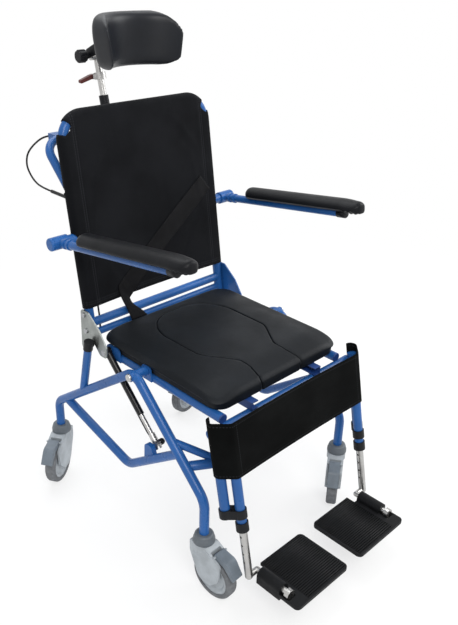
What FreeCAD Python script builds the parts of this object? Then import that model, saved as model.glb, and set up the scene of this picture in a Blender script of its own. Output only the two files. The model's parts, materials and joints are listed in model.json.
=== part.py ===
import FreeCAD, Part
import math
import os

V = FreeCAD.Vector
os.makedirs("parts", exist_ok=True)

# Tilting shower commode chair. Millimetres, +Z up, the sitter faces -Y, and the sitter's right is -X.
# The origin is on the floor, on the centre plane, under the seat.

# Half the seat's width, from which the frame's width follows
pad_half = 221.0

# Tube stock
tube_d = 25.0
post_d = 22.0
cross_d = 20.0

# Base side frame, seen from the side as an A
side_x = pad_half + 45.0
rear_stem_y = 339.0
front_stem_y = -291.0
apex_y = -32.0
apex_z = 518.0
rear_leg_deg = 35.6
front_leg_deg = 43.7
rear_bend_r = 45.0
apex_bend_r = 40.0
front_bend_r = 60.0
stretcher_rear_y = 293.0
stretcher_low_y = 5.0
stretcher_low_z = 213.0
stretcher_front_y = -197.0
stretcher_bend_r = 48.0
stretcher_d = 24.0
guide_post_foot_y = 204.0
guide_post_top_y = 162.0
guide_post_top_z = 520.0
front_cross_leg_y = -216.0
front_cross_y = -254.0
front_cross_half = pad_half - 16.0
front_cross_z = 332.0
brace_leg_y = -172.0
brace_cross_x = pad_half - 33.0

# Casters
wheel_r = 62.5
tyre_w = 30.0
tyre_t = 13.5
hub_r = wheel_r - tyre_t
hub_w = 27.0
wheel_bore_r = 6.0
caster_trail = 40.0
fork_top_z = 2 * wheel_r + 25.0
collar_top_z = fork_top_z + 24.0
collar_r = 28.0
fork_w = 46.0
fork_gap = 1.8
wheel_guard = 4.0
pin_r = 6.0
plug_r = 10.4
plug_length = 55.0
pedal_pin_back = 14.0
pedal_pin_z = fork_top_z - 10.0
pedal_pin_r = 3.0
caster_heading = {"front_right": 3.0, "rear_right": -58.0, "front_left": -56.0, "rear_left": -80.0}

# Tilting seat and back
pivot_y = -29.0
pivot_z = 506.0
pivot_pin_r = 6.0
running_gap = 0.05
side_gap = 0.5
seat_tube_x = pad_half - 9.0
seat_tube_z = 486.0
seat_front_y = -290.0
seat_rear_y = 110.0
lug_t = 5.0
lug_reach = 15.0
weld_sink = 1.5
seat_rear_bar_y = 92.0
front_bar_y = -296.0
front_bar_z = 464.0
legrest_post_x = pad_half + 37.0
legrest_slope = 0.21
legrest_post_low_z = 277.0
legrest_post_low_y = -354.0
legrest_post_top_z = 490.0
pan_rail_x = 118.0
pan_rail_t = 2.5
pan_rail_w = 22.0

# Back frame: an arch of tube, reclined
back_x = pad_half + 13.5
recline_deg = 8.5
back_low_y = 193.0
back_low_z = 557.0
back_top_z = 1086.0
back_top_bend_r = 62.0
cane_foot_z = 508.0
spreader_z = 527.0
low_bar_d = 24.0

# Side plates that tie the back, the seat tubes and the gas spring together
plate_t = 4.0
plate_x = pad_half + 27.0
spring_pin_y = 118.0
spring_pin_z = 503.0
spring_pin_r = 4.0
plate_edge = 14.0

# Gas spring, on the right side only
spring_x = pad_half + 17.0
spring_eye_w = 14.0
spring_d = 18.0
spring_rod_d = 13.0
spring_foot_y = -79.0
spring_foot_z = 311.0
spring_rod_length = 86.0
spring_eye_r = 11.0
spring_eye_play = 1.8

# Push bar, headrest and release
push_leave_z = 905.0
push_corner_y = 352.0
push_corner_z = 1012.0
push_bend_r = 46.0
head_axis_y = push_corner_y + 40.0
head_axis_z = push_corner_z - 12.0
head_lean_deg = 13.0
sleeve_r = 13.0
sleeve_low = -30.0
sleeve_high = 95.0
head_post_r = 9.0
head_post_low = -20.0
head_post_high = 196.0
stop_ring_at = 146.0
stop_ring_r = 16.0
stop_ring_h = 18.0
head_knuckle_r = 13.0
head_knuckle_w = 40.0
head_cheek_t = 5.0
head_pad_y = 310.0
head_pad_z = 1248.0
head_pad_half = 128.0
head_pad_h = 132.0
head_pad_t = 46.0
head_pad_curve_r = 165.0
head_pad_low_r = 32.0
head_pad_top_r = 62.0
lever_at_x = 84.5 - back_x
lever_length = 78.0

# Armrests
arm_x = pad_half + 67.0
arm_z = 790.0
arm_rise_deg = 8.3
arm_barrel_r = 17.0
arm_barrel_w = 42.0
arm_stub_r = 9.0
arm_tube_end_y = -222.0
arm_pad_rear_y = 150.0
arm_pad_front_y = -286.0
arm_pad_w = 58.0
arm_pad_t = 32.0

# Seat pad and its lift-out plug
pad_rear_y = 140.0
pad_front_y = -286.0
pad_t = 48.0
pad_corner_r = 38.0
pad_edge_r = 16.0
opening_half = 118.0
opening_rear_y = 108.0
opening_middle_y = -36.0
neck_half = 62.0
neck_y = -196.0
plug_gap = 1.2

# Legrests
hanger_x = pad_half + 11.0
hanger_low_z = 235.0
hanger_low_y = -387.0
hanger_top_z = 492.0
hanger_bore_r = 10.1
stem_r = 10.0
stem_up = 110.0
hinge_rod_x = pad_half - 18.0
hinge_rod_z = 99.0
hinge_rod_r = 8.0
hinge_rod_front_y = -514.0
footplate_in = 24.0
footplate_out = hinge_rod_x + 16.0
footplate_rear_y = -403.0
footplate_front_y = -562.0
footplate_top_z = 94.0
footplate_t = 9.0
footplate_corner_r = 13.0
housing_rear_y = -429.0
housing_front_y = -502.0
housing_half = 16.0
housing_low_z = 72.0
housing_edge_r = 5.0
strap_low_z = 373.0
strap_top_z = 498.0
cloth_t = 2.5
cloth_gap = 0.4

# Back sling
sling_low_z = 602.0
sling_chamfer = 46.0
sling_roll = 45.0

# Release cable
cable_r = 2.5
ferrule_r = 4.5

recline = math.tan(math.radians(recline_deg))
rear_slope = math.tan(math.radians(rear_leg_deg))
front_slope = math.tan(math.radians(front_leg_deg))
sides = {"right": -1.0, "left": 1.0}


def bent_wire(points, radii):
    """Straight runs between the points, joined by a tangent arc of the given radius at each inner point."""
    edges = []
    start = points[0]
    for before, corner, after, radius in zip(points, points[1:], points[2:], radii):
        inward = (before - corner).normalize()
        outward = (after - corner).normalize()
        half = inward.getAngle(outward) / 2
        reach = radius / math.tan(half)
        middle = corner + (inward + outward).normalize() * (radius / math.sin(half) - radius)
        edges.append(Part.LineSegment(start, corner + inward * reach).toShape())
        edges.append(Part.Arc(corner + inward * reach, middle, corner + outward * reach).toShape())
        start = corner + outward * reach
    edges.append(Part.LineSegment(start, points[-1]).toShape())
    return Part.Wire(edges)


def rod(points, radii, diameter):
    """A round bar along straight runs and arcs."""
    path = bent_wire(points, radii)
    section = Part.Wire(Part.makeCircle(diameter / 2, points[0], points[1] - points[0]))
    return path.makePipeShell([section], True, False)


def straight(start, end, radius):
    """A plain cylinder between two points."""
    run = end - start
    return Part.makeCylinder(radius, run.Length, start, run)


def along_x(x0, x1, y, z, radius):
    """A cylinder along X between two X values."""
    return Part.makeCylinder(radius, abs(x1 - x0), V(min(x0, x1), y, z), V(1, 0, 0))


def outline(corners, radii):
    """A closed wire through the corners, each rounded by its own radius, where 0 stays sharp."""
    count = len(corners)
    starts = []
    ends = []
    middles = []
    for i in range(count):
        corner = corners[i]
        back = (corners[i - 1] - corner).normalize()
        ahead = (corners[(i + 1) % count] - corner).normalize()
        half = back.getAngle(ahead) / 2
        reach = radii[i] / math.tan(half)
        starts.append(corner + back * reach)
        ends.append(corner + ahead * reach)
        middles.append(corner + (back + ahead).normalize() * (radii[i] / math.sin(half) - radii[i]))
    edges = []
    for i in range(count):
        if radii[i] > 0:
            edges.append(Part.Arc(starts[i], middles[i], ends[i]).toShape())
        following = starts[(i + 1) % count]
        if (following - ends[i]).Length > 1e-6:
            edges.append(Part.LineSegment(ends[i], following).toShape())
    return Part.Wire(edges)


def slab(corners, radii, thickness):
    """A flat plate: a rounded outline pushed through by the thickness vector."""
    return Part.Face(outline(corners, radii)).extrude(thickness)


def box(x0, x1, y0, y1, z0, z1):
    """A box between two corners given in any order."""
    low = V(min(x0, x1), min(y0, y1), min(z0, z1))
    return Part.makeBox(abs(x1 - x0), abs(y1 - y0), abs(z1 - z0), low)


def turned(profile, base, axis):
    """A closed profile of points turned a full round about an axis."""
    wire = Part.makePolygon(profile + [profile[0]])
    return Part.Face(wire).revolve(base, axis, 360)


def fused(shapes):
    """One solid from overlapping shapes."""
    whole = shapes[0]
    for shape in shapes[1:]:
        whole = whole.fuse(shape)
    return whole.removeSplitter()


def save(name, shape):
    """Writes one piece, or a group of like pieces, as its own node."""
    solids = shape.Solids
    whole = solids[0] if len(solids) == 1 else Part.makeCompound(solids)
    if not whole.isValid():
        print("not valid:", name)
    whole.exportStep("parts/" + name + ".step")
    extent = whole.BoundBox
    print(name, len(solids), "solids", round(whole.Volume / 1000, 1), "cm3",
          [round(v, 1) for v in (extent.XMin, extent.YMin, extent.ZMin, extent.XMax, extent.YMax, extent.ZMax)])


def rear_leg_z(y):
    """Height of the rear leg's centre line."""
    return apex_z - (y - apex_y) * rear_slope


def front_leg_z(y):
    """Height of the front leg's centre line."""
    return apex_z - (apex_y - y) * front_slope


def on_back(x, z, behind=0.0):
    """A point on the back's plane at a height, moved square to it by the given distance to the rear."""
    a = math.radians(recline_deg)
    y = back_low_y + (z - back_low_z) * recline
    return V(x, y + behind * math.cos(a), z - behind * math.sin(a))


def on_head(along, x=0.0):
    """A point on the headrest post's axis."""
    a = math.radians(head_lean_deg)
    return V(x, head_axis_y + along * math.sin(a), head_axis_z + along * math.cos(a))


def hanger_y(z):
    """The hanger tube's centre line, leaning forward as it goes down."""
    return hanger_low_y + (z - hanger_low_z) * legrest_slope


def legrest_post_y(z):
    """The seat frame's front post, parallel to the hanger."""
    return legrest_post_low_y + (z - legrest_post_low_z) * legrest_slope


# Base

tube_r = tube_d / 2
post_r = post_d / 2
stem_foot_z = collar_top_z - 4.0
plate_out = plate_x + plate_t
lug_in = seat_tube_x + tube_r - weld_sink
lug_out = lug_in + lug_t


def side_frame(s):
    """One bent A of tube with its low stretcher, guide post, pivot boss and gas spring lug."""
    x = s * side_x
    leg = rod([V(x, rear_stem_y, stem_foot_z), V(x, rear_stem_y, rear_leg_z(rear_stem_y)),
               V(x, apex_y, apex_z), V(x, front_stem_y, front_leg_z(front_stem_y)),
               V(x, front_stem_y, stem_foot_z)], [rear_bend_r, apex_bend_r, front_bend_r], tube_d)
    stretcher = rod([V(x, stretcher_rear_y, rear_leg_z(stretcher_rear_y)),
                     V(x, stretcher_low_y, stretcher_low_z),
                     V(x, stretcher_front_y, front_leg_z(stretcher_front_y))], [stretcher_bend_r], stretcher_d)
    post = straight(V(x, guide_post_foot_y, rear_leg_z(guide_post_foot_y)),
                    V(x, guide_post_top_y, guide_post_top_z), post_r)
    boss_in = s * (lug_out + side_gap)
    boss = along_x(boss_in, s * (side_x + tube_r + 1.0), pivot_y, pivot_z, pivot_pin_r + 6.0)
    pieces = [leg, stretcher, post, boss]
    if s < 0:
        pieces.append(spring_lug())
    frame = fused(pieces)
    frame = frame.cut(along_x(s * 100, s * 400, pivot_y, pivot_z, pivot_pin_r + running_gap))
    for y in (rear_stem_y, front_stem_y):
        bore = Part.makeCylinder(plug_r + running_gap, plug_length, V(x, y, stem_foot_z))
        frame = frame.cut(bore)
    return frame


def spring_lug():
    """The upright ear on the right stretcher, with the stud that the gas spring's lower eye turns on."""
    low = side_x + 2.0
    high = side_x - 11.0
    share = (spring_foot_y - stretcher_low_y) / (stretcher_front_y - stretcher_low_y)
    tube_z = stretcher_low_z + share * (front_leg_z(stretcher_front_y) - stretcher_low_z)
    ear = [V(-low, spring_foot_y - 26, tube_z + 14), V(-low, spring_foot_y + 16, tube_z - 12),
           V(-low, spring_foot_y + 13, spring_foot_z + 12), V(-low, spring_foot_y - 13, spring_foot_z + 12)]
    stud = along_x(-low, -(spring_x - spring_eye_w / 2 - 3), spring_foot_y, spring_foot_z, spring_pin_r)
    return slab(ear, [0, 0, 11, 11], V(low - high, 0, 0)).fuse(stud)


frames = {side: side_frame(s) for side, s in sides.items()}
for side, shape in frames.items():
    save("base_side_frame_" + side, shape)


def front_cross():
    """The bowed tube between the front legs, with a corner brace at each end."""
    ends = front_cross_half
    bow = rod([V(-side_x, front_cross_leg_y, front_cross_z), V(-ends, front_cross_y, front_cross_z),
               V(ends, front_cross_y, front_cross_z), V(side_x, front_cross_leg_y, front_cross_z)],
              [40.0, 40.0], tube_d)
    pieces = [bow]
    for s in sides.values():
        pieces.append(straight(V(s * side_x, brace_leg_y, front_leg_z(brace_leg_y)),
                               V(s * brace_cross_x, front_cross_y, front_cross_z + 2), cross_d / 2))
    whole = fused(pieces)
    for shape in frames.values():
        whole = whole.cut(shape)
    return max(whole.Solids, key=lambda solid: solid.Volume)


save("base_front_cross", front_cross())


def guide_cap(s):
    """Black cap on the guide post, with a button that steadies the side plate."""
    top = V(s * side_x, guide_post_top_y, guide_post_top_z)
    axis = (top - V(s * side_x, guide_post_foot_y, rear_leg_z(guide_post_foot_y))).normalize()
    cap = Part.makeCylinder(post_r + 2.0, 26, top - axis * 21, axis)
    button = along_x(s * (side_x - post_r), s * (plate_out + side_gap), guide_post_top_y + 2, guide_post_top_z - 8, 8.0)
    whole = cap.fuse(button)
    return whole.cut(straight(top - axis * 60, top, post_r)).removeSplitter()


save("guide_post_caps", Part.makeCompound([guide_cap(s) for s in sides.values()]))

corners = {"front_right": (-side_x, front_stem_y), "rear_right": (-side_x, rear_stem_y),
           "front_left": (side_x, front_stem_y), "rear_left": (side_x, rear_stem_y)}


def caster_stem(x, y):
    """Steel stem: a plug pressed into the leg and a pin that the fork turns on."""
    plug = Part.makeCylinder(plug_r, plug_length - 2, V(x, y, stem_foot_z))
    pin = Part.makeCylinder(pin_r, stem_foot_z - fork_top_z + 34, V(x, y, fork_top_z - 34))
    return plug.fuse(pin).removeSplitter()


def caster_collar(x, y):
    """Dark ring that covers the swivel bearing, bored for the leg and the stem."""
    profile = [V(0, 0, fork_top_z + side_gap), V(collar_r, 0, fork_top_z + side_gap),
               V(collar_r, 0, fork_top_z + 8), V(collar_r - 4, 0, collar_top_z - 3),
               V(collar_r - 8, 0, collar_top_z), V(0, 0, collar_top_z)]
    ring = turned(profile, V(0, 0, 0), V(0, 0, 1))
    ring = ring.cut(Part.makeCylinder(tube_r, 30, V(0, 0, stem_foot_z)))
    ring = ring.cut(Part.makeCylinder(pin_r, 60, V(0, 0, fork_top_z - 20)))
    ring.translate(V(x, y, 0))
    return ring


save("caster_stems", Part.makeCompound([caster_stem(x, y) for x, y in corners.values()]))
save("caster_collars", Part.makeCompound([caster_collar(x, y) for x, y in corners.values()]))


def fork_shape():
    """Moulded fork: a smooth cowl over the wheel, hollowed for it, with two short journals at the axle."""
    half = fork_w / 2
    c = -caster_trail
    side = [V(-half, 27, fork_top_z), V(-half, 27, fork_top_z - 32), V(-half, c + 34, wheel_r - 22),
            V(-half, c - 2, wheel_r - 22), V(-half, c - 30, wheel_r + 8), V(-half, c - 34, fork_top_z - 26),
            V(-half, -26, fork_top_z)]
    cowl = slab(side, [0, 30, 34, 20, 18, 16, 0], V(fork_w, 0, 0))
    neck = Part.makeCylinder(27, 22, V(0, 0, fork_top_z - 22))
    cowl = cowl.fuse(neck)
    slot_half = tyre_w / 2 + fork_gap
    well = along_x(-slot_half, slot_half, c, wheel_r, wheel_r + wheel_guard)
    chute = box(-slot_half, slot_half, c - wheel_r - wheel_guard, c + wheel_r + wheel_guard, -10, wheel_r)
    mouth = box(-slot_half, slot_half, c - 120, c + 2, -10, fork_top_z + 10)
    cowl = cowl.cut(well).cut(chute).cut(mouth)
    for s in (-1, 1):
        inner = s * (hub_w / 2 - 7)
        cowl = cowl.fuse(along_x(inner, s * half, c, wheel_r, wheel_bore_r))
        cowl = cowl.fuse(along_x(s * (hub_w / 2 + 0.6), s * half, c, wheel_r, wheel_bore_r + 6))
    cowl = cowl.fuse(along_x(-half, half, c - pedal_pin_back, pedal_pin_z, pedal_pin_r))
    cowl = cowl.cut(Part.makeCylinder(pin_r + running_gap, 60, V(0, 0, fork_top_z - 34 - side_gap)))
    return cowl.removeSplitter()


def hub_shape():
    """Wheel centre: a dished disc with a thick rim and a boss, bored for the journals."""
    c = -caster_trail
    half = hub_w / 2
    profile = [V(-half, 0, wheel_bore_r + running_gap), V(half, 0, wheel_bore_r + running_gap),
               V(half, 0, 14), V(half - 6, 0, 18), V(half - 6, 0, hub_r - 13), V(half - 1, 0, hub_r - 8), V(half - 1, 0, hub_r),
               V(-half + 1, 0, hub_r), V(-half + 1, 0, hub_r - 8), V(-half + 6, 0, hub_r - 13), V(-half + 6, 0, 18), V(-half, 0, 14)]
    hub = turned(profile, V(0, 0, 0), V(1, 0, 0))
    hub.translate(V(0, c, wheel_r))
    return hub


def tyre_shape():
    """Solid tyre ring with rounded shoulders."""
    half = tyre_w / 2
    corner_r = 7.0
    section = outline([V(-half, 0, hub_r), V(half, 0, hub_r), V(half, 0, wheel_r), V(-half, 0, wheel_r)],
                      [0, 0, corner_r, corner_r])
    ring = Part.Face(section).revolve(V(0, 0, 0), V(1, 0, 0), 360)
    ring.translate(V(0, -caster_trail, wheel_r))
    return ring


def pedal_shape():
    """Brake pedal: a broad tongue between the cowl's walls, on a cross pin at its upper end."""
    c = -caster_trail
    half = tyre_w / 2 + fork_gap - 0.6
    tip = c - wheel_r - 7.5
    top = fork_top_z
    side = [V(-half, c - 7, top - 17), V(-half, tip + 30, top - 24), V(-half, tip, wheel_r + 33.5),
            V(-half, tip - 6, wheel_r + 38.5), V(-half, tip + 18, top - 11), V(-half, c - 9, top - 3)]
    pedal = slab(side, [5, 14, 2, 3, 18, 5], V(2 * half, 0, 0))
    return pedal.cut(along_x(-half - 1, half + 1, c - pedal_pin_back, pedal_pin_z, pedal_pin_r + running_gap))


fork_master = fork_shape()
pedal_master = pedal_shape()
hub_master = hub_shape()
tyre_master = tyre_shape()
for corner, (x, y) in corners.items():
    for name, master in (("caster_fork_", fork_master), ("caster_hub_", hub_master),
                         ("caster_tyre_", tyre_master), ("caster_brake_", pedal_master)):
        piece = master.copy()
        piece.rotate(V(0, 0, 0), V(0, 0, 1), caster_heading[corner])
        piece.translate(V(x, y, 0))
        save(name + corner, piece)

# Tilting seat frame

cross_r = cross_d / 2
pad_low_z = seat_tube_z + tube_r + 0.3


def lug(s, y, z):
    """An ear welded to the outside of a seat tube, rising to a pin."""
    x = s * lug_in
    ear = [V(x, y - 22, seat_tube_z - 6), V(x, y + 22, seat_tube_z - 6),
           V(x, y + lug_reach, z + lug_reach), V(x, y - lug_reach, z + lug_reach)]
    return slab(ear, [0, 0, 13, 13], V(s * lug_t, 0, 0))


def seat_frame():
    """Two side tubes with a front bar, a rear bar, the legrest posts and the ears for the pins."""
    pieces = [along_x(-legrest_post_x, legrest_post_x, front_bar_y, front_bar_z, tube_r),
              along_x(-seat_tube_x, seat_tube_x, seat_rear_bar_y, seat_tube_z, cross_r)]
    for s in sides.values():
        x = s * seat_tube_x
        pieces.append(straight(V(x, seat_front_y, seat_tube_z), V(x, seat_rear_y, seat_tube_z), tube_r))
        pieces.append(straight(V(s * legrest_post_x, legrest_post_low_y, legrest_post_low_z),
                               V(s * legrest_post_x, legrest_post_y(legrest_post_top_z), legrest_post_top_z), tube_r))
        pieces.append(lug(s, pivot_y, pivot_z))
        pieces.append(lug(s, spring_pin_y - 20, spring_pin_z).fuse(lug(s, spring_pin_y, spring_pin_z)))
    frame = fused(pieces)
    for s in sides.values():
        frame = frame.cut(along_x(s * lug_in, s * (lug_out + 1), pivot_y, pivot_z, pivot_pin_r))
        frame = frame.cut(along_x(s * lug_in, s * (lug_out + 1), spring_pin_y, spring_pin_z, spring_pin_r))
    return frame


seat = seat_frame()
save("seat_frame", seat)


def tube_cap(x, y, step):
    """A plug with a domed head on the end of a seat tube."""
    head = Part.makeCylinder(tube_r, 4, V(x, y, seat_tube_z), V(0, step, 0))
    edge = [e for e in head.Edges if abs(e.CenterOfMass.y - (y + 4 * step)) < 0.01 and e.Closed]
    return head.makeFillet(2.0, edge).cut(seat)


save("seat_tube_caps", Part.makeCompound([tube_cap(s * seat_tube_x, y, step) for s in sides.values()
                                          for y, step in ((seat_front_y, -1), (seat_rear_y, 1))]))


def pan_rail(s):
    """A channel that opens inwards, between the front bar and the rear bar, for a pan to slide in."""
    top = seat_tube_z + tube_r
    low = front_bar_z + tube_r
    front = front_bar_y - tube_r + 3
    outer = s * (pan_rail_x + pan_rail_w / 2)
    inner = s * (pan_rail_x - pan_rail_w / 2)
    channel = box(inner, outer, front, seat_rear_bar_y, low, top)
    hollow = box(inner - s, outer - s * pan_rail_t, front - 1, seat_rear_bar_y + 1, low + pan_rail_t, top - pan_rail_t)
    return channel.cut(hollow).cut(seat)


save("pan_rails", Part.makeCompound([pan_rail(s) for s in sides.values()]))


def pivot_pin(s):
    """Pin fixed in the seat frame's ear, running in the base boss, with a domed head outside."""
    outside = side_x + tube_r + 1.0 + side_gap
    pin = along_x(s * lug_in, s * (outside + 1), pivot_y, pivot_z, pivot_pin_r)
    head = along_x(s * outside, s * (outside + 6), pivot_y, pivot_z, pivot_pin_r + 4)
    rim = [e for e in head.Edges if e.Closed and abs(abs(e.CenterOfMass.x) - outside - 6) < 0.01]
    return pin.fuse(head.makeFillet(3.0, rim)).removeSplitter()


save("tilt_pivot_pins", Part.makeCompound([pivot_pin(s) for s in sides.values()]))

# Back

back_up = V(0, math.sin(math.radians(recline_deg)), math.cos(math.radians(recline_deg)))
back_behind = V(0, math.cos(math.radians(recline_deg)), -math.sin(math.radians(recline_deg)))
arm_y = on_back(0, arm_z).y
barrel_in = arm_x - arm_barrel_w / 2
barrel_out = arm_x + arm_barrel_w / 2


def plate_bolts(s):
    """Two bolts per plate into the back tube, and the pin through plate, gas spring eye and seat ear."""
    bolts = []
    for z in (cane_foot_z + 32, cane_foot_z + 77):
        y = on_back(0, z).y
        shank = along_x(s * (back_x + 2), s * plate_out, y, z, 4.0)
        bolts.append(shank.fuse(along_x(s * plate_out, s * (plate_out + 4), y, z, 7.0)).removeSplitter())
    pin = along_x(s * lug_in, s * plate_out, spring_pin_y, spring_pin_z, spring_pin_r)
    head = along_x(s * plate_out, s * (plate_out + 1.0), spring_pin_y, spring_pin_z, 8.0)
    if s > 0:
        spacer = along_x(s * (lug_out + side_gap), s * (plate_x), spring_pin_y, spring_pin_z, 7.0)
        head = head.fuse(spacer)
    bolts.append(pin.fuse(head).removeSplitter())
    return bolts


all_bolts = [bolt for s in sides.values() for bolt in plate_bolts(s)]
save("plate_bolts", Part.makeCompound(all_bolts))


def back_frame():
    """A reclined arch of tube with two bars across its foot and a stub axle for each armrest."""
    foot = cane_foot_z
    arch = rod([on_back(-back_x, foot), on_back(-back_x, back_top_z), on_back(back_x, back_top_z),
                on_back(back_x, foot)], [back_top_bend_r, back_top_bend_r], tube_d)
    low = on_back(0, back_low_z)
    spread = on_back(0, spreader_z)
    pieces = [arch, along_x(-back_x, back_x, low.y, low.z, low_bar_d / 2),
              along_x(-back_x, back_x, spread.y, spread.z, cross_r)]
    for s in sides.values():
        pieces.append(along_x(s * back_x, s * (barrel_out + 3), arm_y, arm_z, arm_stub_r))
        pieces.append(along_x(s * (back_x + tube_r - 4), s * (barrel_in - side_gap), arm_y, arm_z, arm_stub_r + 4))
        knob = along_x(s * (barrel_out + side_gap), s * (barrel_out + 9), arm_y, arm_z, arm_barrel_r)
        rim = [e for e in knob.Edges if e.Closed and abs(abs(e.CenterOfMass.x) - barrel_out - 9) < 0.01]
        pieces.append(knob.makeFillet(4.0, rim))
    frame = fused(pieces)
    for bolt in all_bolts:
        frame = frame.cut(bolt)
    return frame


back = back_frame()
save("back_frame", back)


def side_plate(s):
    """Cast plate with two legs: one along the back tube and one that reaches forward to the gas spring pin."""
    x = s * plate_x
    top = sling_low_z - 4.0
    edge = plate_edge
    corners = [V(x, on_back(0, top).y + 12, top), V(x, on_back(0, top).y - 20, top),
               V(x, spring_pin_y + edge, spring_pin_z + 58), V(x, spring_pin_y - edge - 2, spring_pin_z + edge + 2),
               V(x, spring_pin_y - edge, spring_pin_z - edge), V(x, spring_pin_y + edge, spring_pin_z - edge),
               V(x, on_back(0, cane_foot_z).y - 22, spring_pin_z + 18), V(x, on_back(0, cane_foot_z).y, cane_foot_z - 28),
               V(x, on_back(0, cane_foot_z).y + 30, cane_foot_z - 30)]
    plate = slab(corners, [9, 9, 40, 12, 10, 10, 12, 8, 12], V(s * plate_t, 0, 0))
    for bolt in all_bolts:
        plate = plate.cut(bolt)
    return plate


for side, s in sides.items():
    save("side_plate_" + side, side_plate(s))

# Push bar with the bracket of the tilt release lever

lever_pivot = V(lever_at_x - 30, push_corner_y + 27, push_corner_z)
lever_t = 7.0


def push_bar():
    """A bail of tube behind the back, with a forked bracket for the release lever."""
    start = on_back(back_x, push_leave_z)
    bar = rod([V(-back_x, start.y, start.z), V(-back_x, push_corner_y, push_corner_z),
               V(back_x, push_corner_y, push_corner_z), V(back_x, start.y, start.z)],
              [push_bend_r, push_bend_r], post_d)
    block = box(lever_pivot.x - 18, lever_pivot.x + 10, push_corner_y, lever_pivot.y + 9,
                push_corner_z - 10, push_corner_z + 10)
    slot = box(lever_pivot.x - 11, lever_pivot.x + 20, push_corner_y + post_r + 1, lever_pivot.y + 20,
               push_corner_z - lever_t / 2 - side_gap, push_corner_z + lever_t / 2 + side_gap)
    pin = Part.makeCylinder(3.0, 20, V(lever_pivot.x, lever_pivot.y, push_corner_z - 10))
    return fused([bar, block.cut(slot), pin]).cut(back)


push = push_bar()
save("push_bar", push)


def release_lever():
    """Flat lever with a finger blade that swings away from the bar at its free end."""
    z = push_corner_z - lever_t / 2
    x, y = lever_pivot.x, lever_pivot.y
    tip = x + lever_length
    blade = [V(x - 7, y - 7, z), V(x + 8, y - 7, z), V(tip, y + 8, z), V(tip, y + 20, z), V(x + 4, y + 9, z),
             V(x - 7, y + 8, z)]
    plate = slab(blade, [6, 12, 5, 6, 14, 6], V(0, 0, lever_t))
    return plate.cut(Part.makeCylinder(3.0 + running_gap, 30, V(x, y, z - 10)))


save("release_lever", release_lever())

# Sling, belt and calf strap

cloth_in = tube_r + cloth_gap
cloth_out = cloth_in + cloth_t


def on_sling(x, behind, up):
    """A point measured from the sling's lower edge: across, behind the back's plane and up along the back."""
    return on_back(0, sling_low_z) + V(x, 0, 0) + back_behind * behind + back_up * up


def hem(points):
    """A closed wire from straight runs and arcs, where a run is two points and an arc is three."""
    edges = []
    for run in points:
        edges.append(Part.LineSegment(*run).toShape() if len(run) == 2 else Part.Arc(*run).toShape())
    return Part.Face(Part.Wire(edges))


def back_sling():
    """Cloth panel across the front of the back, rolled over the top bar and round each tube, corners cut off."""
    bend = back_x - back_top_bend_r
    top = (back_top_z - sling_low_z) / back_up.z
    shoulder = top - back_top_bend_r
    outer, inner = cloth_out, cloth_in

    def roll(n, up):
        return on_sling(-bend, n, up)
    over = hem([(roll(-outer, 0), roll(-outer, top)), (roll(-outer, top), roll(0, top + outer), roll(outer, top)),
                (roll(outer, top), roll(outer, top - sling_roll)),
                (roll(outer, top - sling_roll), roll(inner, top - sling_roll)),
                (roll(inner, top - sling_roll), roll(inner, top)),
                (roll(inner, top), roll(0, top + inner), roll(-inner, top)),
                (roll(-inner, top), roll(-inner, 0)), (roll(-inner, 0), roll(-outer, 0))])
    pieces = [over.extrude(V(2 * bend, 0, 0))]
    for s in sides.values():
        def wrap(x, n):
            return on_sling(s * x, n, 0)
        around = hem([(wrap(bend, -outer), wrap(back_x, -outer)),
                      (wrap(back_x, -outer), wrap(back_x + outer, 0), wrap(back_x, outer)),
                      (wrap(back_x, outer), wrap(bend, outer)), (wrap(bend, outer), wrap(bend, inner)),
                      (wrap(bend, inner), wrap(back_x, inner)),
                      (wrap(back_x, inner), wrap(back_x + inner, 0), wrap(back_x, -inner)),
                      (wrap(back_x, -inner), wrap(bend, -inner)), (wrap(bend, -inner), wrap(bend, -outer))])
        pieces.append(around.extrude(back_up * shoulder))
        corner = [on_sling(s * bend, -outer, shoulder), on_sling(s * back_x, -outer, shoulder),
                  on_sling(s * back_x, -outer, top - sling_chamfer), on_sling(s * (back_x - sling_chamfer), -outer, top),
                  on_sling(s * bend, -outer, top)]
        pieces.append(slab(corner, [0, 0, 9, 9, 0], back_behind * cloth_t))
    cloth = pieces[0]
    for piece in pieces[1:]:
        cloth = cloth.fuse(piece)
    for s in sides.values():
        cloth = cloth.cut(along_x(s * (back_x + 4), s * (back_x + 60), arm_y, arm_z, arm_stub_r + 5))
        leave = on_back(s * back_x, push_leave_z)
        ahead = (V(s * back_x, push_corner_y, push_corner_z) - leave).normalize()
        cloth = cloth.cut(Part.makeCylinder(post_r + 4, 70, leave, ahead))
    return max(cloth.Solids, key=lambda solid: solid.Volume)


sling = back_sling()
save("back_sling", sling)


def calf_strap():
    """Cloth band across the front of the legrests, wrapped round the hanger and the post at each side."""
    def ring(radius, z0, z1):
        centres = [V(-legrest_post_x, legrest_post_y(z0), z0), V(-hanger_x, hanger_y(z0), z0),
                   V(hanger_x, hanger_y(z0), z0), V(legrest_post_x, legrest_post_y(z0), z0)]
        wire = Part.makePolygon(centres + [centres[0]])
        rise = V(0, (z1 - z0) * legrest_slope, z1 - z0)
        return Part.Face(wire).makeOffset2D(radius).extrude(rise)
    fit = tube_r + cloth_gap + 0.4
    band = ring(fit + cloth_t, strap_low_z, strap_top_z).cut(ring(fit, strap_low_z - 10, strap_top_z + 10))
    half = legrest_post_x - 2
    rear = box(-half, half, legrest_post_y(strap_low_z) - 6, 0, strap_low_z - 1, strap_top_z + 1)
    return band.cut(rear)


strap = calf_strap().cut(seat)
save("calf_strap", max(strap.Solids, key=lambda solid: solid.Volume))


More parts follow.
